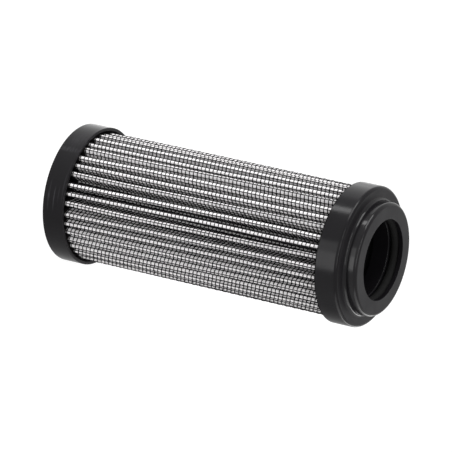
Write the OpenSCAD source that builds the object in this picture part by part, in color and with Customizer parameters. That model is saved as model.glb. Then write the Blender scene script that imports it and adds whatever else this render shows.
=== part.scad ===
// Pleated hydraulic filter element. It stands on its closed end cap, with its axis
// along +Z and the open, sealed collar on top. All sizes are in millimetres.

/* [Whole element] */
// Length over both end caps
element_length = 111.3; // [90:0.1:200]
// Diameter of the bore that the filter head's tube enters
bore_d = 26; // [24:0.5:28]
// Depth of the pleats, from the core tube's side out to the crests
pleat_depth = 5.8; // [5.2:0.1:8]

/* [Closed end cap] */
// Height of the closed cap's skirt
closed_cap_h = 7.5; // [6:0.25:12]
// Thickness of the closed cap's floor
closed_floor_t = 2.2; // [1.5:0.1:3]
// Chamfer round the closed cap's bottom edge
closed_edge = 0.35; // [0.2:0.05:0.6]
// Wall of the closed cap's ring, which is thicker than the open cap's
centring_wall = 1.6; // [1.2:0.1:3]

/* [Both end caps] */
// Wall of the skirt that surrounds the pleat ends
skirt_wall = 1.1; // [0.8:0.1:1.3]
// Wall between the open cap's bore and the core tube
spigot_wall = 1.1; // [0.8:0.05:1.2]
// Length past the cap's inner face of the ring that the core tube is pushed over
spigot_h = 3.2; // [2:0.2:6]
// Chamfer on the free edges of skirts and rings
rim_edge = 0.25; // [0.1:0.05:0.3]

/* [Open end cap] */
// Height of the open cap's skirt, from its free edge to the shoulder
open_skirt_h = 7.9; // [6:0.1:12]
// Thickness of the disc that joins skirt, collar and spigot
shoulder_t = 3; // [2:0.1:4]
// Radius of the rounded edge between skirt and shoulder
shoulder_round = 1.1; // [0.5:0.1:1.5]
// Outer diameter of the collar
collar_d = 36.3; // [35:0.1:38]
// Height of the collar above the shoulder
collar_h = 4.4; // [4:0.1:6]
// Radius of the rounded edge round the collar's front face
collar_round = 1.1; // [0.4:0.1:1.4]
// Radius of the fillet at the foot of the collar
collar_fillet = 1.1; // [0.2:0.1:1.2]
// Thickness of the lip in front of the seal groove
lip_t = 1.4; // [0.8:0.1:1.6]
// Chamfer where the bore leaves the seal groove
land_edge = 0.3; // [0.1:0.05:0.4]

/* [Seal ring] */
// Cord diameter of the seal ring
seal_cord_d = 3; // [2.6:0.1:3.2]
// How far the seal ring stands into the bore
seal_squeeze = 0.2; // [0.1:0.05:0.2]
// Radial clearance between the seal ring and its groove
seal_clear_r = 0.05; // [0.02:0.01:0.15]
// Axial clearance of the seal ring in its groove
seal_clear_z = 0.6; // [0.3:0.1:0.8]

/* [Core tube] */
// Wall of the core tube
core_wall = 1.0; // [0.8:0.1:1.4]
// Radial clearance of the core tube on the caps' rings
core_fit = 0.1; // [0.05:0.01:0.15]
// Windows in one ring of the core tube
windows_round = 8; // [6:2:10]
// Rings of windows along the core tube
window_rows = 9; // [5:1:11]
// Bridge left between two rings of windows
window_bridge = 3.2; // [2.5:0.1:5]
// Post left between two windows of one ring
window_post = 4; // [3:0.1:5]
// Plain stretch at each end of the core tube
core_plain_end = 6; // [4:0.5:10]

/* [Pleats] */
// Number of pleats round the element
pleat_count = 40; // [28:1:42]
// Clearance between the pleat crests and the skirts
crest_clear = 0.3; // [0.2:0.05:0.8]
// Clearance between the core tube and the inner folds
root_clear = 0.1; // [0.05:0.05:0.3]
// Inner radius of each fold
fold_r = 0.08; // [0.05:0.01:0.15]
// Sideways lean of the crests, which stand a little unevenly
crest_lean = 0.2; // [0:0.05:0.25]
// Slow drift of the crests, which gather towards two sides of the element
crest_drift = 0.4; // [0:0.05:0.5]
// Chords in the round of a fold
fold_steps = 4; // [4:2:8]

/* [Pleated plies] */
// Inner support cloth
inner_mesh_t = 0.18; // [0.15:0.01:0.3]
// Inner fleece
inner_fleece_t = 0.08; // [0.06:0.01:0.15]
// Fine glass-fibre ply
fine_media_t = 0.13; // [0.1:0.01:0.2]
// Coarse glass-fibre ply
coarse_media_t = 0.11; // [0.08:0.01:0.2]
// Outer fleece
outer_fleece_t = 0.08; // [0.06:0.01:0.15]
// Outer wire cloth, without its raised wires
outer_mesh_t = 0.16; // [0.12:0.01:0.2]
// Clearance between two plies
ply_clear = 0.02; // [0.01:0.005:0.03]

/* [Outer wire cloth] */
// Distance from wire to wire, 18 wires to the inch
wire_pitch = 1.41; // [1.2:0.01:1.8]
// Width of a coated wire
wire_w = 0.34; // [0.2:0.01:0.4]
// Height of a wire above the cloth
wire_h = 0.11; // [0.06:0.01:0.14]
// Long openings in the cloth along each crest
mesh_rows = 3; // [1:1:3]

/* [Side seam] */
// Sheet thickness of the clip over the side seam
clip_t = 0.25; // [0.15:0.01:0.25]
// Length of the clip's legs down the seam's two flanks
clip_leg = 1.2; // [0.8:0.1:1.4]

/* [Adhesive beds] */
// Thickness of the adhesive between cap and pleat ends
bond_t = 1.2; // [0.8:0.1:2]
// Clearance between an adhesive bed and the walls beside it
bond_clear = 0.05; // [0.02:0.01:0.1]

/* [Hidden] */
// Chords of a full circle in the preview
$fn = 96;
// Overlap that lets a cutter pass clean through a face
cut = 1;

// Radii, from the bore outwards
bore_r = bore_d / 2;
spigot_r = bore_r + spigot_wall;
centring_inner_r = spigot_r - centring_wall;
core_inner_r = spigot_r + core_fit;
core_r = core_inner_r + core_wall;
crest_r = core_r + root_clear + pleat_depth;
skirt_inner_r = crest_r + crest_clear;
cap_r = skirt_inner_r + skirt_wall;
collar_r = collar_d / 2;
seal_inner_r = bore_r - seal_squeeze;
seal_mid_r = seal_inner_r + seal_cord_d / 2;
groove_r = seal_inner_r + seal_cord_d + seal_clear_r;

// Heights, from the closed end up
front_z = element_length;
shoulder_z = front_z - collar_h;
inner_face_z = shoulder_z - shoulder_t;
open_rim_z = shoulder_z - open_skirt_h;
groove_top_z = front_z - lip_t;
groove_bottom_z = groove_top_z - seal_cord_d - seal_clear_z;
seal_z = (groove_top_z + groove_bottom_z) / 2;
pleat_bottom_z = closed_floor_t + bond_t;
pleat_top_z = inner_face_z - bond_t;
pleat_h = pleat_top_z - pleat_bottom_z;

// Depth of each ply, measured outwards from the inner face of the pleated stack
inner_fleece_d = inner_mesh_t + ply_clear;
fine_media_d = inner_fleece_d + inner_fleece_t + ply_clear;
coarse_media_d = fine_media_d + fine_media_t + ply_clear;
outer_fleece_d = coarse_media_d + coarse_media_t + ply_clear;
outer_mesh_d = outer_fleece_d + outer_fleece_t + ply_clear;
cloth_face_d = outer_mesh_d + outer_mesh_t;
stack_t = cloth_face_d + wire_h;

// Circles that the folds are rolled on
fold_outer_r = fold_r + stack_t;
crest_centre_r = crest_r - fold_outer_r;
root_centre_r = core_r + root_clear + fold_outer_r;
fold_sum = fold_outer_r + fold_r;
pleat_step = 360 / pleat_count;
// The side seam is at the back
seam_a = 93;
// Turn from one crest's lean to the next one's, which never repeats round the ring
lean_turn = 137.5;
// Turn from one crest's drift to the next one's, twice round for the whole ring
drift_turn = 2 * pleat_step;

function dir(a) = [cos(a), sin(a)];
function heading(v) = atan2(v.y, v.x);
function turn_from(a, b) = b - a - 360 * floor((b - a + 180) / 360);
function full_turn_from(a, b) = b - a - 360 * floor((b - a) / 360);

// Crest i, counted both ways from the seam so that both of its neighbours lean away
function signed(i) = i > pleat_count / 2 ? i - pleat_count : i;
function lean(i) = let (k = signed(i % pleat_count))
    (crest_lean * sin(lean_turn * k) + crest_drift * sin(drift_turn * k)) / crest_centre_r * 180 / PI;
function crest_a(i) = seam_a + i * pleat_step + lean(i);
function root_a(i) = seam_a + (i + 0.5) * pleat_step;
function crest(i) = crest_centre_r * dir(crest_a(i));
function root(i) = root_centre_r * dir(root_a(i));

// A flank is the crossed tangent of a crest circle and a root circle.
// fall_n and rise_n are the headings of its outward normal, after and before crest i.
function fall_n(i) = let (v = root(i) - crest(i)) heading(v) + asin(fold_sum / norm(v)) - 90;
function rise_n(i) = let (v = crest(i) - root(i - 1)) heading(v) - asin(fold_sum / norm(v)) - 90;
function flank_l(i, j) = let (v = crest(i) - root(j)) sqrt(v * v - fold_sum * fold_sum);

// Turns from the crest's own heading to both ends of its round
function crest_from(i) = turn_from(crest_a(i), rise_n(i));
function crest_to(i) = turn_from(crest_a(i), fall_n(i));

// Points of one smooth fold at depth d of the stack
function crest_arc(i, d) = [for (k = [0:fold_steps])
    crest(i) + (fold_r + d) * dir(crest_a(i) + crest_from(i)
        + (crest_to(i) - crest_from(i)) * k / fold_steps)];
function root_arc(i, d) =
    let (a = root_a(i),
        from = full_turn_from(a, fall_n(i) + 180),
        to = full_turn_from(a, rise_n(i + 1) + 180))
    [for (k = [0:fold_steps])
        root(i) + (fold_outer_r - d) * dir(a + from + (to - from) * k / fold_steps)];

// The strip starts and ends at the seam, where crest 0 is left out
function seam_start(d) = [crest(0) + (fold_r + d) * dir(fall_n(0))];
function seam_end(d) = [crest(0) + (fold_r + d) * dir(rise_n(pleat_count))];
function smooth_face(d) = concat(seam_start(d), root_arc(0, d),
    [for (i = [1:pleat_count - 1]) each concat(crest_arc(i, d), root_arc(i, d))], seam_end(d));

// One ply of the pleated stack, between the depths d0 and d1
module ply(d0, d1) {
    translate([0, 0, pleat_bottom_z])
        linear_extrude(pleat_h)
            polygon(concat(smooth_face(d1), reversed(smooth_face(d0))));
}
function reversed(list) = [for (k = [len(list) - 1:-1:0]) list[k]];

// Raised wires of the outer cloth: each is a low trapezium, half as wide on top.
// On a crest two wires lie half a pitch from the middle, and the flanks go on from there.
wire_a = wire_pitch / 2 / fold_outer_r * 180 / PI;
wire_half_a = wire_w / 2 / fold_outer_r * 180 / PI;
profile_of_wire = [[-1, 0], [-0.5, 1], [0.5, 1], [1, 0]];
function cloth_r(raise) = fold_r + cloth_face_d + wire_h * raise;
function wire_on_crest(i, a) = [for (p = profile_of_wire)
    crest(i) + cloth_r(p[1]) * dir(crest_a(i) + a + p[0] * wire_half_a)];
function crest_point(i, a) = [crest(i) + cloth_r(0) * dir(crest_a(i) + a)];
function crest_wires(i) = concat(crest_point(i, crest_from(i)),
    crest_point(i, (crest_from(i) - wire_a) / 2), wire_on_crest(i, -wire_a), crest_point(i, 0),
    wire_on_crest(i, wire_a), crest_point(i, (crest_to(i) + wire_a) / 2), crest_point(i, crest_to(i)));

// Distance down a flank to its first wire, after a crest whose round ends at turn a
function first_wire(a) = max(wire_w / 2, wire_pitch - (abs(a) - wire_a) * PI / 180 * fold_outer_r);
function wire_places(a, l) = [for (s = [first_wire(a):wire_pitch:l - wire_w]) s];
function wire_on_flank(i, n, down, s) = [for (p = profile_of_wire)
    crest(i) + cloth_r(p[1]) * dir(n) + (s + p[0] * wire_w / 2) * dir(down)];
function fall_wires(i) = [for (s = wire_places(crest_to(i), flank_l(i, i)))
    each wire_on_flank(i, fall_n(i), fall_n(i) + 90, s)];
function rise_wires(i) = reversed([for (s = wire_places(crest_from(i), flank_l(i, i - 1)))
    each wire_on_flank(i, rise_n(i), rise_n(i) - 90, s)]);
function cloth_face() = concat(seam_start(cloth_face_d), fall_wires(0), root_arc(0, cloth_face_d),
    [for (i = [1:pleat_count - 1]) each concat(rise_wires(i), crest_wires(i), fall_wires(i),
        root_arc(i, cloth_face_d))], rise_wires(pleat_count), seam_end(cloth_face_d));

// Openings between the two wires of a crest, from one cross wire to the next
mesh_open_w = 2 * cloth_r(0) * sin(wire_a - wire_half_a) - ply_clear;
mesh_row_step = (pleat_h - 2 * wire_pitch + wire_w) / mesh_rows;
mesh_open_h = mesh_row_step - wire_w;

module closed_end_cap() color("#2b2b2d") {
    wall_profile = [[0, 0], [cap_r - closed_edge, 0], [cap_r, closed_edge], [cap_r, closed_cap_h],
        [skirt_inner_r + rim_edge, closed_cap_h], [skirt_inner_r, closed_cap_h - rim_edge],
        [skirt_inner_r, closed_floor_t], [spigot_r, closed_floor_t],
        [spigot_r, closed_floor_t + spigot_h - rim_edge], [spigot_r - rim_edge, closed_floor_t + spigot_h],
        [centring_inner_r, closed_floor_t + spigot_h], [centring_inner_r, closed_floor_t],
        [0, closed_floor_t]];
    rotate_extrude() polygon(wall_profile);
}

// Quarter rounds of the open cap's section, from and to the given headings
round_chords = 6;
function round_points(c, r, from, to) = [for (k = [0:round_chords])
    c + r * dir(from + (to - from) * k / round_chords)];

module open_end_cap() color("#2b2b2d") {
    spigot_end_z = inner_face_z - spigot_h;
    outside = concat([[cap_r, open_rim_z]],
        round_points([cap_r - shoulder_round, shoulder_z - shoulder_round], shoulder_round, 0, 90),
        round_points([collar_r + collar_fillet, shoulder_z + collar_fillet], collar_fillet, 270, 180),
        round_points([collar_r - collar_round, front_z - collar_round], collar_round, 0, 90));
    inside = [[bore_r, front_z], [bore_r, groove_top_z], [groove_r, groove_top_z],
        [groove_r, groove_bottom_z], [bore_r + land_edge, groove_bottom_z],
        [bore_r, groove_bottom_z - land_edge], [bore_r, spigot_end_z], [spigot_r - rim_edge, spigot_end_z],
        [spigot_r, spigot_end_z + rim_edge], [spigot_r, inner_face_z], [skirt_inner_r, inner_face_z],
        [skirt_inner_r, open_rim_z + rim_edge], [skirt_inner_r + rim_edge, open_rim_z]];
    rotate_extrude() polygon(concat(outside, inside));
}

// Moulded cage that keeps the pleats from collapsing inwards
module core_tube() color("#232325") {
    core_h = inner_face_z - closed_floor_t;
    row_pitch = (core_h - 2 * core_plain_end + window_bridge) / window_rows;
    window_h = row_pitch - window_bridge;
    window_w = 2 * core_r * sin(180 / windows_round) - window_post;
    translate([0, 0, closed_floor_t])
        difference() {
            cylinder(r = core_r, h = core_h);
            translate([0, 0, -cut]) cylinder(r = core_inner_r, h = core_h + 2 * cut);
            for (row = [0:window_rows - 1], side = [0:windows_round / 2 - 1])
                rotate((side + row % 2 / 2) * 360 / windows_round)
                    translate([-core_r - cut, -window_w / 2, core_plain_end + row * row_pitch])
                        cube([2 * (core_r + cut), window_w, window_h]);
        }
}

module outer_mesh() color("#2f2f31") {
    translate([0, 0, pleat_bottom_z])
        difference() {
            linear_extrude(pleat_h)
                polygon(concat(cloth_face(), reversed(smooth_face(outer_mesh_d))));
            for (i = [1:pleat_count - 1], row = [0:mesh_rows - 1])
                rotate(crest_a(i))
                    translate([crest_centre_r, -mesh_open_w / 2, wire_pitch + row * mesh_row_step])
                        cube([fold_outer_r + cut, mesh_open_w, mesh_open_h]);
        }
}

module outer_fleece() color("#f4f4f1") ply(outer_fleece_d, outer_fleece_d + outer_fleece_t);
module coarse_media() color("#fbfbf8") ply(coarse_media_d, coarse_media_d + coarse_media_t);
module fine_media() color("#ffffff") ply(fine_media_d, fine_media_d + fine_media_t);
module inner_fleece() color("#f4f4f1") ply(inner_fleece_d, inner_fleece_d + inner_fleece_t);
module inner_mesh() color("#3a3a3c") ply(0, inner_mesh_t);

// Folded strip that grips the two cut edges of the pleated stack, on the crest left out of it
module seam_clip() color("#b9bcc0") {
    translate([0, 0, pleat_bottom_z])
        linear_extrude(pleat_h)
            polygon(concat(clip_face(clip_d + clip_t), reversed(clip_face(clip_d))));
}
clip_d = stack_t + ply_clear;
function clip_end(n, down, d) = [crest(0) + (fold_r + d) * dir(n) + clip_leg * dir(down)];
function clip_face(d) = concat(clip_end(rise_n(0), rise_n(0) - 90, d), crest_arc(0, d),
    clip_end(fall_n(0), fall_n(0) + 90, d));

// Sealant under the clip's round back, lying on the cut edges
module seam_sealant() color("#c9b27a") {
    translate([0, 0, pleat_bottom_z])
        linear_extrude(pleat_h)
            polygon(concat([crest(0)], crest_arc(0, stack_t)));
}

module bond(z) {
    translate([0, 0, z])
        difference() {
            cylinder(r = skirt_inner_r - bond_clear, h = bond_t);
            translate([0, 0, -cut]) cylinder(r = core_r + bond_clear, h = bond_t + 2 * cut);
        }
}
module closed_end_bond() color("#4a4640") bond(closed_floor_t);
module open_end_bond() color("#4a4640") bond(pleat_top_z);

module seal_ring() color("#1c1c1d") {
    translate([0, 0, seal_z])
        rotate_extrude()
            translate([seal_mid_r, 0]) circle(d = seal_cord_d);
}

closed_end_cap();
open_end_cap();
core_tube();
outer_mesh();
outer_fleece();
coarse_media();
fine_media();
inner_fleece();
inner_mesh();
seam_clip();
seam_sealant();
closed_end_bond();
open_end_bond();
seal_ring();
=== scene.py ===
import math

import bpy
import numpy as np
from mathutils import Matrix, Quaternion, Vector


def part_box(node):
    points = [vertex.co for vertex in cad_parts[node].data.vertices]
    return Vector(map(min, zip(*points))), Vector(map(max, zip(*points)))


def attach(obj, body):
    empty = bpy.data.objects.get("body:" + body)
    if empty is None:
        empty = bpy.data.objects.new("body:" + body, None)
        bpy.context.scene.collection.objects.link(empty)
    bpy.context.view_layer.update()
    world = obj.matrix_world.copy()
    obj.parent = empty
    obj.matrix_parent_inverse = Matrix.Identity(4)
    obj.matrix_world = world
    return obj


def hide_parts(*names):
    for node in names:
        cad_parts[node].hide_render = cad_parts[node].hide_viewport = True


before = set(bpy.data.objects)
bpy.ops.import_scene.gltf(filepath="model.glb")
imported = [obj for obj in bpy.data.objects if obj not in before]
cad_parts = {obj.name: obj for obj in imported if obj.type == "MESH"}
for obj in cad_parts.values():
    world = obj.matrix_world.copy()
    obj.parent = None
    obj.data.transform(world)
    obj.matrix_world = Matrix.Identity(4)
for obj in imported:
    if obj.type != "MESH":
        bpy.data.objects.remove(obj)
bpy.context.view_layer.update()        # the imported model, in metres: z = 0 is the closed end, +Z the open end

MM = 0.001               # one millimetre in the frame's metres

# The core tube is the cage that the oil pressure pushes the pleats against.
# It is moulded in black nylon, with staggered windows between rings and posts,
# and is pushed over a ring on each end cap.
core_low, core_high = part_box("core_tube")
core_r = core_high[0]
core_wall = 1.0 * MM
windows_round = 8
window_rows = 9
window_bridge = 3.2 * MM
window_post = 4.0 * MM
core_plain_end = 6.0 * MM
core_facets = 96


def linear(hex_colour):
    """sRGB hex colour as linear red, green, blue and an alpha of 1."""
    values = [int(hex_colour[k:k + 2], 16) / 255 for k in (1, 3, 5)]
    return [v / 12.92 if v <= 0.04045 else ((v + 0.055) / 1.055) ** 2.4 for v in values] + [1.0]


def add_node(tree, kind, sockets, **settings):
    """Adds one node. Each socket takes a value, or a link given as (node, output name)."""
    node = tree.nodes.new(kind)
    for name, value in settings.items():
        setattr(node, name, value)
    for name, value in sockets.items():
        if isinstance(value, tuple) and isinstance(value[0], bpy.types.Node):
            tree.links.new(value[0].outputs[value[1]], node.inputs[name])
        else:
            node.inputs[name].default_value = value
    return node


def new_material(name):
    """An empty node material and its tree."""
    material = bpy.data.materials.new(name)
    material.use_nodes = True
    material.node_tree.nodes.clear()
    return material, material.node_tree


def moulded_nylon(name, colour, roughness, specular, grain):
    """Glass-filled nylon 66, moulded black right through. A polished mould wall gives a soft mirror
    and an eroded one an even dull face. The grain is drawn coarser than the real one, so that it
    shows, and where the glass lies near the skin there are faint cloudy patches."""
    material, tree = new_material(name)
    place = add_node(tree, "ShaderNodeTexCoord", {})
    clouds = add_node(tree, "ShaderNodeTexNoise", {
        "Vector": (place, "Object"), "Scale": 1 / (6 * MM), "Detail": 3.0, "Roughness": 0.55})
    fine = add_node(tree, "ShaderNodeTexNoise", {
        "Vector": (place, "Object"), "Scale": 1 / (0.22 * MM), "Detail": 2.0})
    sheen = add_node(tree, "ShaderNodeMapRange", {
        "Value": (clouds, "Fac"), "From Min": 0.3, "From Max": 0.7,
        "To Min": roughness - 0.04, "To Max": roughness + 0.05})
    relief = add_node(tree, "ShaderNodeBump", {
        "Height": (fine, "Fac"), "Strength": grain, "Distance": 0.02 * MM})
    clear = linear(colour)
    cloudy = [1.6 * value for value in clear[:3]] + [1.0]
    shade = add_node(tree, "ShaderNodeMix", {
        "Factor": (clouds, "Fac"), "A": clear, "B": cloudy}, data_type="RGBA")
    body = add_node(tree, "ShaderNodeBsdfPrincipled", {
        "Base Color": (shade, "Result"), "Roughness": (sheen, "Result"), "Normal": (relief, "Normal"),
        "Specular IOR Level": specular})
    add_node(tree, "ShaderNodeOutputMaterial", {"Surface": (body, "BSDF")})
    return material


def new_object(name, data):
    """An object in the scene that holds the given mesh, lamp or camera."""
    holder = bpy.data.objects.new(name, data)
    bpy.context.scene.collection.objects.link(holder)
    return holder


def add_piece(name, vertices, faces, material, replaced=(), smooth=True):
    """Makes one closed mesh from arrays and lets it ride on the body. The faces are turned round if
    the volume under them, summed over the triangles that fan out in each face, is negative."""
    triangles = np.concatenate([f[:, [0, k, k + 1]] for f in faces for k in range(1, f.shape[1] - 1)])
    corners = vertices[triangles]
    volume = np.einsum("ij,ij->", corners[:, 0], np.cross(corners[:, 1], corners[:, 2]))
    if volume < 0:
        faces = [f[:, ::-1] for f in faces]
    mesh = bpy.data.meshes.new(name)
    mesh.from_pydata(vertices.tolist(), [], [row for f in faces for row in f.tolist()])
    mesh.polygons.foreach_set("use_smooth", np.full(len(mesh.polygons), smooth))
    mesh.materials.append(material)
    piece = new_object(name, mesh)
    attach(piece, "root")
    if replaced:
        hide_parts(*replaced)
    return piece


def heading(turn):
    """Flat unit vectors: the cosine and the sine of each turn from +X."""
    return np.stack([np.cos(turn), np.sin(turn)], -1)


def cage(edges_a, edges_z, solid, outer, inner):
    """Tube wall on a grid of angles and heights. A cell is there where solid is true; each such cell
    has an outer and an inner face, and a wall on every side that has no neighbour."""
    n_a, n_z = len(edges_a), len(edges_z)
    a, z = np.meshgrid(edges_a, edges_z, indexing="ij")
    ring = heading(a)
    vertices = np.concatenate([
        np.concatenate([ring * r, z[..., None]], -1).reshape(-1, 3) for r in (outer, inner)])
    i, j = np.nonzero(solid)
    low, high = i * n_z + j, (i + 1) % n_a * n_z + j
    half = n_a * n_z
    quads = [np.stack([low, high, high + 1, low + 1], 1),
             np.stack([low, low + 1, high + 1, high], 1) + half]
    padded = np.pad(solid, ((0, 0), (1, 1)))
    sides = ((low, low + 1, np.roll(solid, 1, 0)[i, j]), (high + 1, high, np.roll(solid, -1, 0)[i, j]),
             (high, low, padded[i, j]), (low + 1, high + 1, padded[i, j + 2]))
    for start, end, neighbour in sides:
        s, e = start[~neighbour], end[~neighbour]
        quads.append(np.stack([s, e, e + half, s + half], 1))
    return vertices, [np.concatenate(quads)]


row_step = (core_high[2] - core_low[2] - 2 * core_plain_end + window_bridge) / window_rows
window_h = row_step - window_bridge
window_half = math.asin(math.sin(math.pi / windows_round) - window_post / 2 / core_r)
window_turn = 2 * math.pi / windows_round
half_turns = window_turn / 2 * np.arange(2 * windows_round)
facet_turns = np.linspace(0, 2 * math.pi, core_facets, endpoint=False)
all_turns = np.concatenate([half_turns - window_half, half_turns + window_half, facet_turns])
edges_a = np.unique(np.round(np.mod(all_turns, 2 * math.pi), 5))
row_low = core_low[2] + core_plain_end + row_step * np.arange(window_rows)
edges_z = np.sort(np.concatenate([[core_low[2], core_high[2]], row_low, row_low + window_h]))
middle_a = edges_a + np.mod(np.roll(edges_a, -1) - edges_a, 2 * math.pi) / 2
middle_z = (edges_z[1:] + edges_z[:-1]) / 2
row = np.floor((middle_z - row_low[0]) / row_step)
in_row = (row >= 0) & (row < window_rows) & (np.mod(middle_z - row_low[0], row_step) < window_h)
stagger = row % 2 * window_turn / 2
from_window = np.mod(middle_a[:, None] - stagger + window_turn / 2, window_turn) - window_turn / 2
solid = ~(in_row & (np.abs(from_window) < window_half))
core_vertices, core_faces = cage(edges_a, edges_z, solid, core_r, core_r - core_wall)
core_nylon = moulded_nylon("core_nylon_moulded", "#0d0d0e", 0.55, 0.2, 0.3)
add_piece("core_tube_moulded", core_vertices, core_faces, core_nylon, ["core_tube"],
          smooth=False)

# The pleated pack is one strip of stacked plies, folded into forty pleats and closed to a ring at
# the back. Every ply follows the same folds at its own depth. The crests stand a little unevenly
# and sway along their length, as hand-gathered pleats do.
pack_low, pack_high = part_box("outer_mesh")
pleat_count = 40
seam_turn = math.radians(93)
fold_r = 0.08 * MM
stack_t = 0.95 * MM
root_clear = 0.1 * MM
skirt_wall = 1.1 * MM
crest_clear = 0.3 * MM
crest_lean = 0.2 * MM
crest_drift = 0.4 * MM
crest_twist = 0.6 * MM
crest_sway = 0.1 * MM
crest_drop = 0.12 * MM
lean_turn = math.radians(137.5)
drift_turn = 4 * math.pi / pleat_count
sway_sines = ((1.0, 0.9, 1.7), (0.5, 1.9, 2.4))  # share of the sway, waves in the pack, turn per pleat
drop_waves, drop_turn = 0.6, 4.1
fold_outer_r = fold_r + stack_t
cap_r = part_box("closed_end_cap")[1][0]
crest_centre_r = cap_r - skirt_wall - crest_clear - fold_outer_r
root_centre_r = core_r + root_clear + fold_outer_r
fold_sum = fold_outer_r + fold_r
pack_length = pack_high[2] - pack_low[2]


def turn_from(a, b):
    """Turn from heading a to heading b, between minus and plus half a turn."""
    return np.mod(b - a + math.pi, 2 * math.pi) - math.pi


def folds(heights):
    """Crest and root circles and the crossed tangents between them, at each height (rows) and for
    each pleat (columns). A crest leans by the sine of its golden-angle turn and drifts by a slow
    sine round the ring. Along the element it is wound by crest_twist each way, most at the front
    and not at all at the seam, it sways by two slow sines, and by a third it stands a little lower."""
    pleat = np.arange(pleat_count + 1)
    signed = np.where(pleat > pleat_count / 2, pleat - pleat_count, pleat)
    share = (heights[:, None] - pack_low[2]) / pack_length
    free = np.minimum(np.abs(signed), 1)
    sway = crest_sway * free * sum(
        part * np.sin(2 * math.pi * waves * share + turn * signed) for part, waves, turn in sway_sines)
    sway = sway + crest_twist * (1 - 2 * share) * np.sin(math.pi * pleat / pleat_count) ** 2
    lean = crest_lean * np.sin(lean_turn * signed) + crest_drift * np.sin(drift_turn * signed)
    drop_sine = np.sin(drop_turn * signed + 2 * math.pi * drop_waves * share)
    drop = crest_drop * free * (0.5 + 0.5 * drop_sine)
    crest_a = seam_turn + pleat * 2 * math.pi / pleat_count + (lean + sway) / crest_centre_r
    root_a = seam_turn + (pleat[:-1] + 0.5) * 2 * math.pi / pleat_count + 0 * share
    crest = (crest_centre_r - drop)[..., None] * heading(crest_a)
    root = root_centre_r * heading(root_a)
    fall, rise = root - crest[:, :-1], crest[:, 1:] - root
    fall_l, rise_l = np.linalg.norm(fall, axis=-1), np.linalg.norm(rise, axis=-1)
    fall_n = np.arctan2(fall[..., 1], fall[..., 0]) + np.arcsin(fold_sum / fall_l) - math.pi / 2
    rise_n = np.arctan2(rise[..., 1], rise[..., 0]) - np.arcsin(fold_sum / rise_l) - math.pi / 2
    next_fall_n = np.roll(fall_n, -1, 1)
    return {
        "crest": crest, "root": root, "crest_a": crest_a, "root_a": root_a,
        "fall_n": fall_n, "rise_n": rise_n,
        "fall_l": np.sqrt(fall_l ** 2 - fold_sum ** 2), "rise_l": np.sqrt(rise_l ** 2 - fold_sum ** 2),
        "root_from": np.mod(fall_n + math.pi - root_a, 2 * math.pi),
        "root_to": np.mod(rise_n + math.pi - root_a, 2 * math.pi),
        "crest_from": turn_from(crest_a[:, 1:], rise_n),
        "crest_to": turn_from(crest_a[:, 1:], next_fall_n)}


def along_folds(heights, depth, pleat, part, share):
    """Points and outward normals at the given stations of the strip, at every height. A station is
    a pleat, one of its four parts (falling flank, root round, rising flank, next crest's round) and
    the share of that part's length; depth is measured outwards from the stack's inner face."""
    f = folds(heights)
    fall_n, rise_n = f["fall_n"][:, pleat], f["rise_n"][:, pleat]
    crest, next_crest, root = f["crest"][:, pleat], f["crest"][:, pleat + 1], f["root"][:, pleat]
    root_arc = (f["root_to"] - f["root_from"])[:, pleat]
    crest_arc = (f["crest_to"] - f["crest_from"])[:, pleat]
    root_turn = f["root_a"][:, pleat] + f["root_from"][:, pleat] + share * root_arc
    crest_turn = f["crest_a"][:, pleat + 1] + f["crest_from"][:, pleat] + share * crest_arc
    outwards = [heading(fall_n), -heading(root_turn), heading(rise_n), heading(crest_turn)]
    along_fall = (share * f["fall_l"][:, pleat])[..., None] * heading(fall_n + math.pi / 2)
    along_rise = (share * f["rise_l"][:, pleat])[..., None] * heading(rise_n + math.pi / 2)
    points = [
        crest + (fold_r + depth) * outwards[0] + along_fall,
        root - (fold_outer_r - depth) * outwards[1],
        root - (fold_outer_r - depth) * outwards[2] + along_rise,
        next_crest + (fold_r + depth) * outwards[3]]
    chosen = [(part == k)[None, :, None] for k in range(4)]
    flat = np.select(chosen, points)
    normal = np.select(chosen, outwards)
    z = np.broadcast_to(heights[:, None, None], flat.shape[:2] + (1,))
    return np.concatenate([flat, z], -1), np.concatenate([normal, np.zeros_like(z)], -1)


def part_lengths(depth):
    """Length of each part of each pleat at mid height, in the order in which the strip runs."""
    f = folds(np.array([pack_low[2] + pack_length / 2]))
    lengths = np.stack([
        f["fall_l"][0], (fold_outer_r - depth) * np.abs(f["root_to"] - f["root_from"])[0],
        f["rise_l"][0], (fold_r + depth) * (f["crest_to"] - f["crest_from"])[0]], 1).ravel()
    lengths[-1] = 0
    return lengths


def stations_at(run, lengths):
    """Pleat, part and share of the part for each distance run along the strip."""
    ends = np.cumsum(lengths)
    k = np.minimum(np.searchsorted(ends, run, side="right"), len(lengths) - 2)
    share = np.clip((run - (ends - lengths)[k]) / lengths[k], 0, 1)
    return k // 4, k % 4, share


def even_stations(flank, root, crest):
    """Stations for a ply: so many steps on each flank, root round and crest round of every pleat."""
    steps = [flank, root, flank, crest]
    pleat = np.repeat(np.arange(pleat_count), sum(steps))
    part = np.tile(np.repeat(np.arange(4), steps), pleat_count)
    share = np.tile(np.concatenate([np.arange(n) / n for n in steps]), pleat_count)
    keep = (pleat < pleat_count - 1) | (part < 3)
    pleat, part, share = pleat[keep], part[keep], share[keep]
    return np.append(pleat, pleat_count - 1), np.append(part, 2), np.append(share, 1.0)


def four_sided(a, b, c, d):
    """Four-sided faces from the arrays of their first, second, third and fourth corners."""
    return np.stack([a.ravel(), b.ravel(), c.ravel(), d.ravel()], 1)


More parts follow.
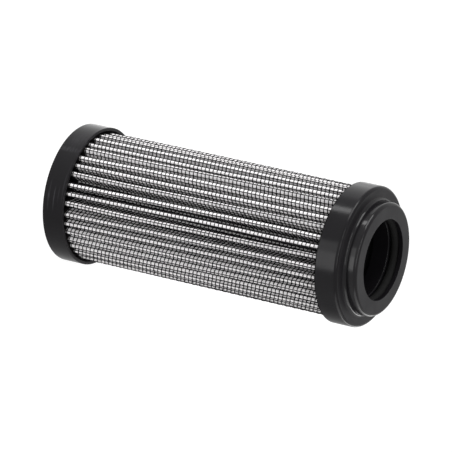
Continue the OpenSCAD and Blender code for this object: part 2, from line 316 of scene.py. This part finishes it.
def sheet_between(outer, inner):
    """Closed sheet between two grids of points, with its four edges walled."""
    rows, columns = outer.shape[:2]
    index = np.arange(rows * columns).reshape(rows, columns)
    face = four_sided(index[:-1, :-1], index[:-1, 1:], index[1:, 1:], index[1:, :-1])
    half = rows * columns
    rim = np.concatenate([index[0], index[1:, -1], index[-1, -2::-1], index[-2:0:-1, 0]])
    after = np.roll(rim, -1)
    vertices = np.concatenate([outer.reshape(-1, 3), inner.reshape(-1, 3)])
    wall = four_sided(after, rim, rim + half, after + half)
    return vertices, [np.concatenate([face, face[:, ::-1] + half, wall])]


def ply(name, depth_low, depth_high, steps, levels, material, replaced):
    """One ply of the pack as a closed folded sheet between two depths."""
    heights = np.linspace(pack_low[2], pack_high[2], levels)
    station = even_stations(*steps)
    outer = along_folds(heights, depth_high, *station)[0]
    inner = along_folds(heights, depth_low, *station)[0]
    vertices, faces = sheet_between(outer, inner)
    return add_piece(name, vertices, faces, material, [replaced])


def fibre_material(name, colour, shadow, fibre, relief):
    """Felted fibres laid flat: dull white with slightly greyer strands, seen as fine short streaks.
    The real fibres are thinner than the strands drawn here, which are as coarse as they need to
    show."""
    material, tree = new_material(name)
    place = add_node(tree, "ShaderNodeTexCoord", {})
    strands = add_node(tree, "ShaderNodeTexNoise", {
        "Vector": (place, "Object"), "Scale": 1 / fibre, "Detail": 4.0, "Roughness": 0.7,
        "Distortion": 1.5})
    shade = add_node(tree, "ShaderNodeMix", {
        "Factor": (strands, "Fac"), "A": linear(shadow), "B": linear(colour)}, data_type="RGBA")
    bump = add_node(tree, "ShaderNodeBump", {
        "Height": (strands, "Fac"), "Strength": 0.6, "Distance": relief})
    body = add_node(tree, "ShaderNodeBsdfPrincipled", {
        "Base Color": (shade, "Result"), "Roughness": 0.9, "Normal": (bump, "Normal"),
        "Specular IOR Level": 0.2})
    add_node(tree, "ShaderNodeOutputMaterial", {"Surface": (body, "BSDF")})
    return material


def coated_wire(name, colour, roughness):
    """Steel wire dipped in epoxy: soft black with little sheen, uneven where the coat has run."""
    material, tree = new_material(name)
    place = add_node(tree, "ShaderNodeTexCoord", {})
    runs = add_node(tree, "ShaderNodeTexNoise", {
        "Vector": (place, "Object"), "Scale": 1 / (0.9 * MM), "Detail": 2.0})
    gloss = add_node(tree, "ShaderNodeMapRange", {
        "Value": (runs, "Fac"), "To Min": roughness - 0.1, "To Max": roughness + 0.15})
    body = add_node(tree, "ShaderNodeBsdfPrincipled", {
        "Base Color": linear(colour), "Roughness": (gloss, "Result"), "Specular IOR Level": 0.05})
    add_node(tree, "ShaderNodeOutputMaterial", {"Surface": (body, "BSDF")})
    return material


inner_steps, inner_levels = (1, 3, 4), 13
support_wire = coated_wire("support_cloth_epoxy_coated", "#19191a", 0.4)
fleece_white = fibre_material("polyester_fleece", "#f9f7f8", "#e8e6e6", 0.12 * MM, 0.02 * MM)
glass_white = fibre_material("glass_fibre_paper", "#ffffff", "#f4f4f2", 0.08 * MM, 0.01 * MM)
ply_clear = 0.02 * MM
inner_plies = (("inner_mesh", 0.18 * MM, support_wire, "coated_wire"),
               ("inner_fleece", 0.08 * MM, fleece_white, "fleece"),
               ("fine_media", 0.13 * MM, glass_white, "glass_fibre"),
               ("coarse_media", 0.09 * MM, glass_white, "glass_fibre"))
stacked = 0
for node, thickness, material, slot in inner_plies:
    ply(node + "_pleated", stacked, stacked + thickness, inner_steps, inner_levels, material, node)
    stacked += thickness + ply_clear

# The outer fleece is the white layer seen through the wire cloth. It is soft polyester, and the
# wires sink into it. Next to the closed cap's rim its colour is darkened: painted shade, where the skirt shades
# the pleat ends.
fleece_face = 0.59 * MM
fleece_steps, fleece_levels = (2, 4, 8), 25
# Heights of the painted shade on the outer fleece at the closed cap's rim.
shade_full = 7.1 * MM
shade_end = 7.6 * MM
shade_uneven = 0.4 * MM


def blended_in(material, mask, colour):
    """Lays a colour over a finished material's own, as far as the mask says: 0 is none of it."""
    tree = material.node_tree
    body = next(node for node in tree.nodes if node.type == "BSDF_PRINCIPLED")
    own = body.inputs["Base Color"].links[0].from_node
    shade = add_node(tree, "ShaderNodeMix", {
        "Factor": mask, "A": (own, "Result"), "B": linear(colour)}, data_type="RGBA")
    tree.links.new(shade.outputs["Result"], body.inputs["Base Color"])


def painted_closed_end_shade(material, full, end):
    """Darkens the lowest part of a ply as painted shade: fully up to one height, and less and less
    to another, a little uneven round the pack."""
    tree = material.node_tree
    place = add_node(tree, "ShaderNodeTexCoord", {})
    height = add_node(tree, "ShaderNodeSeparateXYZ", {"Vector": (place, "Object")})
    ragged_noise = add_node(tree, "ShaderNodeTexNoise", {"Vector": (place, "Object"), "Scale": 1 / (3 * MM)})
    uneven = add_node(tree, "ShaderNodeMath", {
        0: (ragged_noise, "Fac"), 1: 2 * shade_uneven, 2: (height, "Z")}, operation="MULTIPLY_ADD")
    dark = add_node(tree, "ShaderNodeMapRange", {
        "Value": (uneven, "Value"), "From Min": full + shade_uneven, "From Max": end + shade_uneven,
        "To Min": 1.0, "To Max": 0.0})
    blended_in(material, (dark, "Result"), "#1d1a17")


outer_white = fibre_material("polyester_fleece_outer", "#f9f7f8", "#e8e6e6", 0.12 * MM, 0.02 * MM)
# Painted shade where the closed cap's skirt shades the pleat ends.
painted_closed_end_shade(outer_white, shade_full, shade_end)
ply("outer_fleece_pleated", stacked, fleece_face, fleece_steps, fleece_levels, outer_white,
    "outer_fleece")

# The outer wire cloth is plain-woven steel wire, 18 to the inch, coated with black epoxy and
# pleated with the plies under it. Lengthwise and cross wires pass over and under each other.
wire_pitch = 1.41 * MM
wire_r = 0.175 * MM
weave_rise = 0.12 * MM
wire_sides = 4
cloth_depth = stack_t - wire_r - weave_rise


def tubes(lines, normals, radius):
    """Round wires along many lines of equal point counts: each point gets a ring of wire_sides
    points round the line's direction, starting from its normal, and both ends are closed."""
    count, points = lines.shape[:2]
    along = np.gradient(lines, axis=1)
    along /= np.linalg.norm(along, axis=-1, keepdims=True)
    across = np.cross(along, normals)
    across /= np.linalg.norm(across, axis=-1, keepdims=True)
    up = np.cross(across, along)
    turn = (np.arange(wire_sides) + 0.5) * 2 * math.pi / wire_sides
    ring = np.cos(turn)[:, None] * up[:, :, None] + np.sin(turn)[:, None] * across[:, :, None]
    vertices = (lines[:, :, None] + radius * ring).reshape(-1, 3)
    index = np.arange(count * points * wire_sides).reshape(count, points, wire_sides)
    here, there = index[:, :-1], index[:, 1:]
    sides = np.stack([here, np.roll(here, -1, 2), np.roll(there, -1, 2), there], -1).reshape(-1, 4)
    ends = np.concatenate([index[:, 0, ::-1], index[:, -1]])
    return vertices, [sides, ends]


wire_black = coated_wire("outer_cloth_epoxy_coated", "#1d1c1e", 0.35)


def wire_set(name, lines, normals, replaced=()):
    """The wires along the given lines, in two pieces that take every other wire each, because all of
    them would be too many triangles for one."""
    for first, part in ((0, "_even"), (1, "_odd")):
        vertices, faces = tubes(lines[first::2], normals[first::2], wire_r)
        add_piece(name + part, vertices, faces, wire_black, () if first else replaced)


cloth_lengths = part_lengths(cloth_depth)
strip_length = cloth_lengths.sum()
long_count = int(round(strip_length / wire_pitch))
long_pitch = strip_length / long_count
cross_count = int(round(pack_length / wire_pitch)) - 1
cross_pitch = pack_length / (cross_count + 1)

long_run = (np.arange(long_count) + 0.5) * long_pitch
long_heights = pack_low[2] + np.arange(1, 2 * cross_count + 2) * cross_pitch / 2
long_stations = stations_at(long_run, cloth_lengths)
long_points, long_normals = along_folds(long_heights, cloth_depth, *long_stations)
weave = np.cos(math.pi * (long_heights - pack_low[2]) / cross_pitch)
sign = np.where(np.arange(long_count) % 2 == 0, 1, -1)
long_points = long_points + weave_rise * (weave[:, None] * sign)[..., None] * long_normals
wire_set("long_wires", long_points.transpose(1, 0, 2), long_normals.transpose(1, 0, 2), ["outer_mesh"])

cross_run = np.arange(2 * long_count + 1) * long_pitch / 2
cross_heights = pack_low[2] + np.arange(1, cross_count + 1) * cross_pitch
cross_stations = stations_at(cross_run, cloth_lengths)
cross_points, cross_normals = along_folds(cross_heights, cloth_depth, *cross_stations)
weave = np.sin(math.pi * np.arange(2 * long_count + 1) / 2)
sign = np.where(np.arange(1, cross_count + 1) % 2 == 0, -1, 1)
cross_points = cross_points + weave_rise * (sign[:, None] * weave)[..., None] * cross_normals
wire_set("cross_wires", cross_points, cross_normals)

# The seam clip is a strip of thin stainless steel, folded over the two edges of the pack at the
# back and crimped. Sealant fills the hollow of its round back.
clip_t = 0.25 * MM
clip_gap = 0.02 * MM
clip_leg = 1.2 * MM
clip_steps = 15
end_strip = 0.1 * MM
seam = folds(np.array([pack_low[2]]))
seam_crest = seam["crest"][0, 0]
seam_fall_n, seam_rise_n = seam["fall_n"][0, 0], seam["rise_n"][0, -1]


def seam_profile(depth):
    """Outline over the crest at the seam, at one depth: up one flank from the clip's leg, round the
    crest's circle and down the other flank."""
    arc = np.mod(seam_fall_n - seam_rise_n, 2 * math.pi)
    top = seam_crest + (fold_r + depth) * heading(seam_rise_n + arc * np.linspace(0, 1, clip_steps))
    down = clip_leg * np.array([[1.0], [0.75], [0.5], [0.25]])
    first = top[0] + down * heading(seam_rise_n - math.pi / 2)
    last = top[-1] + down[::-1] * heading(seam_fall_n + math.pi / 2)
    return np.concatenate([first, top, last])


def upright(profile):
    """A flat outline repeated at the pack's two ends and at two heights just inside them."""
    z = np.array([pack_low[2], pack_low[2] + end_strip, pack_high[2] - end_strip, pack_high[2]])
    flat = np.broadcast_to(profile, (4,) + profile.shape)
    return np.concatenate([flat, np.broadcast_to(z[:, None, None], flat.shape[:2] + (1,))], -1)


def rolled_strip(name):
    """Cold-rolled stainless strip: bright, with rolling lines along its length."""
    material, tree = new_material(name)
    place = add_node(tree, "ShaderNodeTexCoord", {})
    stretch = add_node(tree, "ShaderNodeMapping", {
        "Vector": (place, "Object"), "Scale": (1.0, 1.0, 0.02)})
    lines = add_node(tree, "ShaderNodeTexNoise", {
        "Vector": (stretch, "Vector"), "Scale": 1 / (0.06 * MM), "Detail": 2.0})
    gloss = add_node(tree, "ShaderNodeMapRange", {
        "Value": (lines, "Fac"), "To Min": 0.22, "To Max": 0.45})
    body = add_node(tree, "ShaderNodeBsdfPrincipled", {
        "Base Color": linear("#9c9da0"), "Metallic": 1.0, "Roughness": (gloss, "Result")})
    add_node(tree, "ShaderNodeOutputMaterial", {"Surface": (body, "BSDF")})
    return material


def cured_adhesive(name, colour):
    """Two-part epoxy after curing: dark amber, glassy, with shallow waves where it settled."""
    material, tree = new_material(name)
    place = add_node(tree, "ShaderNodeTexCoord", {})
    waves = add_node(tree, "ShaderNodeTexNoise", {
        "Vector": (place, "Object"), "Scale": 1 / (3 * MM), "Detail": 1.0})
    bump = add_node(tree, "ShaderNodeBump", {
        "Height": (waves, "Fac"), "Strength": 0.4, "Distance": 0.1 * MM})
    body = add_node(tree, "ShaderNodeBsdfPrincipled", {
        "Base Color": linear(colour), "Roughness": 0.2, "Normal": (bump, "Normal")})
    add_node(tree, "ShaderNodeOutputMaterial", {"Surface": (body, "BSDF")})
    return material


def dressed(node, material):
    """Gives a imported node's own mesh a material in place of its plain one."""
    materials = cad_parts[node].data.materials
    materials.clear()
    materials.append(material)


clip_outer = upright(seam_profile(stack_t + clip_gap + clip_t))
clip_inner = upright(seam_profile(stack_t + clip_gap))
vertices, faces = sheet_between(clip_outer, clip_inner)
add_piece("seam_clip_folded", vertices, faces, rolled_strip("stainless_strip_rolled"),
          ["seam_clip"])
dressed("seam_sealant", cured_adhesive("seam_sealant_epoxy", "#7a5a2c"))

# The adhesive beds hold the pleat ends in the caps. They are dark epoxy, poured into the caps
# before the pack is set in them.
bed_epoxy = cured_adhesive("bed_epoxy_dark", "#2a2622")
dressed("closed_end_bond", bed_epoxy)
dressed("open_end_bond", bed_epoxy)

# The closed end cap is a shallow cup moulded in black glass-filled nylon. Its skirt stands clear of
# the pleat crests, and a ring in its middle carries the core tube. Its side has been rubbed in use, and a
# painted highlight band and a painted patch of light lie on it as well.
cap_sides = moulded_nylon("glass_filled_nylon_polished_mould", "#131214", 0.17, 0.12, 0.15)
cap_faces = moulded_nylon("glass_filled_nylon_eroded_mould", "#161517", 0.5, 0.2, 0.3)
# Sides with rub marks, and with painted highlight and painted light laid over them.
scuffed_painted_sides = moulded_nylon("glass_filled_nylon_scuffed_painted_light", "#131214", 0.17, 0.12, 0.15)
closed_rim_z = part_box("closed_end_cap")[1][2]
closed_floor_t = core_low[2]
closed_edge = 0.35 * MM
centring_wall = 1.6 * MM
rim_edge = 0.25 * MM
lead_in = 0.12 * MM
flat_face = 0.97
mark_depth = 6 * MM
skirt_inner_r = cap_r - skirt_wall
bore_r = 13 * MM
spigot_wall = 1.1 * MM
spigot_r = bore_r + spigot_wall
spigot_h = 3.2 * MM
sharp = 0.08 * MM


def rounded(corners, steps=5):
    """Outline in radius and height with every corner rounded. A corner is (radius, height, round);
    its arc touches both neighbours, and a point beside each arc keeps the straight runs straight."""
    points = np.array([c[:2] for c in corners], float)
    rounds = np.array([c[2] for c in corners], float)
    before, after = np.roll(points, 1, 0) - points, np.roll(points, -1, 0) - points
    before_l, after_l = np.linalg.norm(before, axis=1), np.linalg.norm(after, axis=1)
    a, b = before / before_l[:, None], after / after_l[:, None]
    half = np.arccos(np.clip((a * b).sum(1), -1, 1)) / 2
    reach = rounds / np.tan(half)
    outline = []
    for p, u, v, h, t, r, lu, lv in zip(points, a, b, half, reach, rounds, before_l, after_l):
        if r == 0:
            outline.append(p[None])
            continue
        centre = p + (u + v) / np.linalg.norm(u + v) * r / math.sin(h)
        start, end = p + u * t - centre, p + v * t - centre
        from_a = math.atan2(start[1], start[0])
        turn = from_a + turn_from(from_a, math.atan2(end[1], end[0])) * np.linspace(0, 1, steps)
        arc = centre + r * np.stack([np.cos(turn), np.sin(turn)], -1)
        lead = [p + u * min(t + lead_in, (lu + t) / 2)]
        trail = [p + v * min(t + lead_in, (lv + t) / 2)]
        outline.append(np.concatenate([lead, arc, trail]))
    return np.concatenate(outline)


def turned(outline, segments):
    """Turns an outline of radius r and height z about Z, to r times the cosine and the sine of each
    turn. One that begins and ends on the axis gets a pole at each end; any other is a closed ring."""
    turn = np.linspace(0, 2 * math.pi, segments, endpoint=False)
    has_poles = abs(outline[0, 0]) < 1e-9 and abs(outline[-1, 0]) < 1e-9
    body = outline[1:-1] if has_poles else outline
    r, z = body[:, 0], body[:, 1]
    flat = r[:, None, None] * heading(turn)
    grid = np.concatenate([flat, np.broadcast_to(z[:, None, None], (len(r), segments, 1))], -1)
    index = np.arange(len(r) * segments).reshape(len(r), segments)
    lower, upper = (index[:-1], index[1:]) if has_poles else (index, np.roll(index, -1, 0))
    quads = np.stack([lower, np.roll(lower, -1, 1), np.roll(upper, -1, 1), upper], -1).reshape(-1, 4)
    vertices = grid.reshape(-1, 3)
    if not has_poles:
        return vertices, [quads]
    poles = np.array([[0, 0, outline[0, 1]], [0, 0, outline[-1, 1]]])
    first, last = len(vertices), len(vertices) + 1
    start_fan = np.stack([np.full(segments, first), np.roll(index[0], -1), index[0]], -1)
    end_fan = np.stack([np.full(segments, last), index[-1], np.roll(index[-1], -1)], -1)
    return np.concatenate([vertices, poles]), [quads, start_fan, end_fan]


round_segments = 192
closed_section = rounded([
    (0, 0, 0), (cap_r, 0, closed_edge), (cap_r, closed_rim_z, sharp),
    (skirt_inner_r, closed_rim_z, rim_edge), (skirt_inner_r, closed_floor_t, sharp),
    (spigot_r, closed_floor_t, sharp), (spigot_r, closed_floor_t + spigot_h, rim_edge),
    (spigot_r - centring_wall, closed_floor_t + spigot_h, sharp),
    (spigot_r - centring_wall, closed_floor_t, sharp), (0, closed_floor_t, 0)])
vertices, faces = turned(closed_section, round_segments)
closed_cap = add_piece("closed_end_cap_moulded", vertices, faces, scuffed_painted_sides,
                       ["closed_end_cap"])


def rub_marks_and_painted_light(material, marks, colour):
    """Faint lighter marks on a moulded side: rub marks, and also painted highlight and painted light.
    Each is a soft ellipse round a point of the side, given as (degrees from the front, height, half length
    round the side, half height, strength); a streaky noise, drawn out round the side, breaks it up."""
    tree = material.node_tree
    place = add_node(tree, "ShaderNodeTexCoord", {})
    drawn_out = add_node(tree, "ShaderNodeMapping", {
        "Vector": (place, "Object"), "Scale": (0.12, 0.12, 1)})
    streaks = add_node(tree, "ShaderNodeTexNoise", {
        "Vector": (drawn_out, "Vector"), "Scale": 1 / (0.35 * MM), "Detail": 2.0})
    broken = add_node(tree, "ShaderNodeMapRange", {
        "Value": (streaks, "Fac"), "From Min": 0.35, "From Max": 0.6, "To Min": 0.25, "To Max": 1.0})
    total = None
    for degrees, height, half_length, half_height, strength in marks:
        turn = math.radians(degrees)
        scale = Vector((1 / half_length, 1 / mark_depth, 1 / half_height))
        middle = Vector((cap_r * math.sin(turn), -cap_r * math.cos(turn), height))
        spot = add_node(tree, "ShaderNodeMapping", {
            "Vector": (place, "Object"), "Scale": scale, "Location": -middle * scale})
        fade = add_node(tree, "ShaderNodeTexGradient", {"Vector": (spot, "Vector")},
                        gradient_type="SPHERICAL")
        total = add_node(tree, "ShaderNodeMath", {
            0: (fade, "Fac"), 1: strength, 2: (total, "Value") if total else 0.0},
            operation="MULTIPLY_ADD")
    worn = add_node(tree, "ShaderNodeMath", {0: (total, "Value"), 1: (broken, "Result")},
                    operation="MULTIPLY", use_clamp=True)
    blended_in(material, (worn, "Value"), colour)


# Near the front, the four marks drawn out round the side are rub marks. The upright band at -34 degrees is a
# painted highlight, and the broad patch at -47 degrees is painted light on the lit side.
rub_marks_and_painted_light(scuffed_painted_sides, [
    (9, 3.9 * MM, 5.0 * MM, 0.35 * MM, 1.2), (8, 1.9 * MM, 5.5 * MM, 0.45 * MM, 1.4),
    (-4, 6.8 * MM, 8.0 * MM, 0.4 * MM, 0.6), (6, 5.4 * MM, 4.0 * MM, 0.3 * MM, 0.5),
    (-34, 3.6 * MM, 1.1 * MM, 5.5 * MM, 1.0), (-47, 4.2 * MM, 5.0 * MM, 4.5 * MM, 0.5)], "#363538")


def finished_faces(piece, material, chosen):
    """Gives one more material to the faces that a test picks by height of middle and steepness,
    which is how far a face's normal points along the axis."""
    count = len(piece.data.polygons)
    normals, middles, finish = np.empty(count * 3), np.empty(count * 3), np.empty(count, np.int32)
    piece.data.polygons.foreach_get("normal", normals)
    piece.data.polygons.foreach_get("center", middles)
    piece.data.polygons.foreach_get("material_index", finish)
    piece.data.materials.append(material)
    finish[chosen(middles[2::3], np.abs(normals[2::3]))] = len(piece.data.materials) - 1
    piece.data.polygons.foreach_set("material_index", finish)


finished_faces(closed_cap, cap_faces, lambda height, steep: steep > flat_face)

# The open end cap is moulded in the same nylon: skirt, rounded shoulder and a polished collar whose
# bore takes the filter head's tube. A groove behind the bore's lip holds the seal ring. A band at the
# skirt's free rim is darker and without sheen: painted shade.
open_low, open_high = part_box("open_end_cap")
front_z = open_high[2]
open_rim_z = open_low[2]
open_rim_round = 0.4 * MM
rim_shade_h = 0.45 * MM
collar_h = 4.4 * MM
collar_r = 18.15 * MM
shoulder_z = front_z - collar_h
shoulder_t = 3.0 * MM
inner_face_z = shoulder_z - shoulder_t
shoulder_round = 1.1 * MM
collar_round = 1.1 * MM
collar_fillet = 1.1 * MM
lip_t = 1.4 * MM
seal_low, seal_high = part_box("seal_ring")
seal_cord_r = (seal_high[2] - seal_low[2]) / 2
groove_top_z = front_z - lip_t
groove_play = 0.6 * MM
groove_bottom_z = groove_top_z - 2 * seal_cord_r - groove_play
ring_play = 0.05 * MM
groove_r = seal_high[0] + ring_play
land_edge = 0.3 * MM
spigot_end_z = inner_face_z - spigot_h
open_section = rounded([
    (cap_r, open_rim_z, open_rim_round), (cap_r, shoulder_z, shoulder_round),
    (collar_r, shoulder_z, collar_fillet), (collar_r, front_z, collar_round),
    (bore_r, front_z, sharp), (bore_r, groove_top_z, sharp),
    (groove_r, groove_top_z, sharp), (groove_r, groove_bottom_z, sharp),
    (bore_r, groove_bottom_z, land_edge), (bore_r, spigot_end_z, sharp),
    (spigot_r, spigot_end_z, rim_edge), (spigot_r, inner_face_z, sharp),
    (skirt_inner_r, inner_face_z, sharp), (skirt_inner_r, open_rim_z, rim_edge)], steps=7)
vertices, faces = turned(open_section, round_segments)
open_cap = add_piece("open_end_cap_moulded", vertices, faces, cap_sides, ["open_end_cap"])
collar_sides = moulded_nylon("glass_filled_nylon_polished_collar", "#131214", 0.15, 0.17, 0.12)
# Painted shade: a dark band without sheen at the skirt's free rim.
rim_painted_shade = moulded_nylon("glass_filled_nylon_rim_painted_shade", "#0b0b0c", 0.9, 0.0, 0.3)
finished_faces(open_cap, cap_faces, lambda height, steep: steep > flat_face)
finished_faces(open_cap, collar_sides, lambda height, steep: (steep < flat_face) & (height > shoulder_z))
finished_faces(open_cap, rim_painted_shade, lambda height, steep: height < open_rim_z + rim_shade_h)

# The seal ring is an NBR ring of round cord. It lies loosely in its groove and stands a little
# way into the bore.
cord_facets, ring_facets = 24, 128
cord_turns = np.linspace(0, 2 * math.pi, cord_facets, endpoint=False)
ring_middle = np.array([seal_high[0] - seal_cord_r, (seal_high[2] + seal_low[2]) / 2])
ring_outline = ring_middle + seal_cord_r * heading(cord_turns)


def nitrile_rubber(name):
    """NBR rubber from a polished mould: black, smooth and half dull, with a dusty bloom in patches."""
    material, tree = new_material(name)
    place = add_node(tree, "ShaderNodeTexCoord", {})
    bloom = add_node(tree, "ShaderNodeTexNoise", {
        "Vector": (place, "Object"), "Scale": 1 / (2.5 * MM), "Detail": 4.0})
    gloss = add_node(tree, "ShaderNodeMapRange", {"Value": (bloom, "Fac"), "To Min": 0.7, "To Max": 0.9})
    shade = add_node(tree, "ShaderNodeMix", {
        "Factor": (bloom, "Fac"), "A": linear("#1c1c1c"), "B": linear("#242424")}, data_type="RGBA")
    body = add_node(tree, "ShaderNodeBsdfPrincipled", {
        "Base Color": (shade, "Result"), "Roughness": (gloss, "Result"), "Specular IOR Level": 0.07})
    add_node(tree, "ShaderNodeOutputMaterial", {"Surface": (body, "BSDF")})
    return material


vertices, faces = turned(ring_outline, ring_facets)
add_piece("seal_ring_nitrile", vertices, faces, nitrile_rubber("nitrile_rubber_moulded"),
          ["seal_ring"])

# The studio: a plain pale floor that keeps the shadow, a white surround, and soft lamps. Two soft
# patches change the floor's glow for reflections only, a painted reflection: a dimmer one at the right
# behind the element and a brighter one at the closed cap's left.
floor_size = 3.0
floor_glow = 0.85
painted_reflection_patches = ((0.12, 0.1, 0.19, -0.6), (-0.045, 0.0, 0.06, 0.5))  # x, y, reach, change of the glow
painted_reflection_rim = 0.4
surround_dull, surround_seen = 0.2, 1.0
floor_mesh = bpy.data.meshes.new("studio_floor")
floor_corners = [(-floor_size, -floor_size, 0), (floor_size, -floor_size, 0),
                 (floor_size, floor_size, 0), (-floor_size, floor_size, 0)]
floor_mesh.from_pydata(floor_corners, [], [(0, 1, 2, 3)])
floor = new_object("studio_floor", floor_mesh)


def seen_directly(tree):
    """The light path, and a node that is 1 for the camera, for reflections and for clear solids, and
    0 for the soft light that a surface gives to its surroundings."""
    path = add_node(tree, "ShaderNodeLightPath", {})
    mirrored = add_node(tree, "ShaderNodeMath", {
        0: (path, "Is Camera Ray"), 1: (path, "Is Glossy Ray")}, operation="ADD")
    direct = add_node(tree, "ShaderNodeMath", {
        0: (mirrored, "Value"), 1: (path, "Is Transmission Ray")}, operation="ADD")
    return path, direct


floor_paint, floor_tree = new_material("studio_floor_paint")
path, seen = seen_directly(floor_tree)
lift = add_node(floor_tree, "ShaderNodeMath", {0: (seen, "Value"), 1: floor_glow}, operation="MULTIPLY")
floor_place = add_node(floor_tree, "ShaderNodeTexCoord", {})
# Each patch is painted reflection: the glow changes only for reflections, not for the camera.
for patch_x, patch_y, reach, change in painted_reflection_patches:
    patch = add_node(floor_tree, "ShaderNodeMapping", {
        "Vector": (floor_place, "Object"), "Scale": (1 / reach, 1 / reach, 1 / reach),
        "Location": (-patch_x / reach, -patch_y / reach, 0)})
    fade = add_node(floor_tree, "ShaderNodeTexGradient", {"Vector": (patch, "Vector")},
                    gradient_type="SPHERICAL")
    changed = add_node(floor_tree, "ShaderNodeMapRange", {
        "Value": (fade, "Fac"), "From Max": painted_reflection_rim, "To Max": change})
    lift = add_node(floor_tree, "ShaderNodeMath", {
        0: (path, "Is Glossy Ray"), 1: (changed, "Result"), 2: (lift, "Value")},
        operation="MULTIPLY_ADD")
paint = add_node(floor_tree, "ShaderNodeBsdfDiffuse", {"Color": linear("#a4a4a4")})
glow = add_node(floor_tree, "ShaderNodeEmission", {
    "Color": linear("#ffffff"), "Strength": (lift, "Value")})
both = add_node(floor_tree, "ShaderNodeAddShader", {0: (paint, "BSDF"), 1: (glow, "Emission")})
add_node(floor_tree, "ShaderNodeOutputMaterial", {"Surface": (both, "Shader")})
floor_mesh.materials.append(floor_paint)

world = bpy.data.worlds.new("studio_surround")
bpy.context.scene.world = world
world.use_nodes = True
world.node_tree.nodes.clear()
seen = seen_directly(world.node_tree)[1]
strength = add_node(world.node_tree, "ShaderNodeMapRange", {
    "Value": (seen, "Value"), "To Min": surround_dull, "To Max": surround_seen})
surround = add_node(world.node_tree, "ShaderNodeBackground", {
    "Color": linear("#ffffff"), "Strength": (strength, "Result")})
add_node(world.node_tree, "ShaderNodeOutputWorld", {"Surface": (surround, "Background")})


def soft_lamp(name, place, width, height, power):
    """A rectangular soft lamp that faces the middle of the element."""
    lamp = bpy.data.lights.new(name, "AREA")
    lamp.shape = "RECTANGLE"
    lamp.size, lamp.size_y, lamp.energy = width, height, power
    holder = new_object(name, lamp)
    holder.location = place
    holder.rotation_mode = "QUATERNION"
    holder.rotation_quaternion = (Vector((0, 0, front_z / 2)) - holder.location).to_track_quat("-Z", "Y")
    holder.visible_camera = False


soft_lamp("top_lamp", Vector((-0.9, -0.35, 0.25)), 0.6, 0.6, 8.5)
soft_lamp("front_lamp", Vector((-0.08, -0.65, 0.95)), 1.0, 0.1, 4.0)
soft_lamp("bottom_lamp", Vector((1.0, 0.15, 0.3)), 0.9, 0.9, 5.4)
soft_lamp("fill_lamp", Vector((0.1, -1.1, 0.5)), 0.8, 0.8, 1.3)
soft_lamp("back_lamp", Vector((0.7, 0.8, 0.12)), 0.8, 0.2, 1.8)
soft_lamp("strip_lamp_left", Vector((-0.15, -0.075, 0.03)), 0.025, 0.05, 0.04)
soft_lamp("strip_lamp_right", Vector((0.03, -0.16, 0.03)), 0.125, 0.05, 0.046)
soft_lamp("strip_lamp_edge", Vector((0.056, -0.153, 0.03)), 0.08, 0.05, 0.028)
soft_lamp("strip_lamp_back", Vector((-0.16, 0.07, 0.03)), 0.16, 0.05, 0.02)

# The camera stands where the photograph's fitted camera stood: a long lens from a little above,
# turned so that the standing element lies across the picture.
camera_distance = 1.2673
camera_elevation = math.radians(27.55)
camera_roll = math.radians(102.67)
camera_aim = Vector((0.0004, 0, 0.05486))
camera_lens = 318.1
camera_data = bpy.data.cameras.new("photograph_camera")
camera_data.lens = camera_lens
camera_data.sensor_width = 36
camera_data.clip_start, camera_data.clip_end = 0.05, 20
camera = new_object("photograph_camera", camera_data)
camera_back = Vector((0, -math.cos(camera_elevation), math.sin(camera_elevation)))
camera.location = camera_aim + camera_distance * camera_back
camera.rotation_mode = "QUATERNION"
camera.rotation_quaternion = (-camera_back).to_track_quat("-Z", "Y") @ Quaternion((0, 0, 1), camera_roll)
bpy.context.scene.camera = camera
bpy.context.scene.view_settings.view_transform = "Standard"
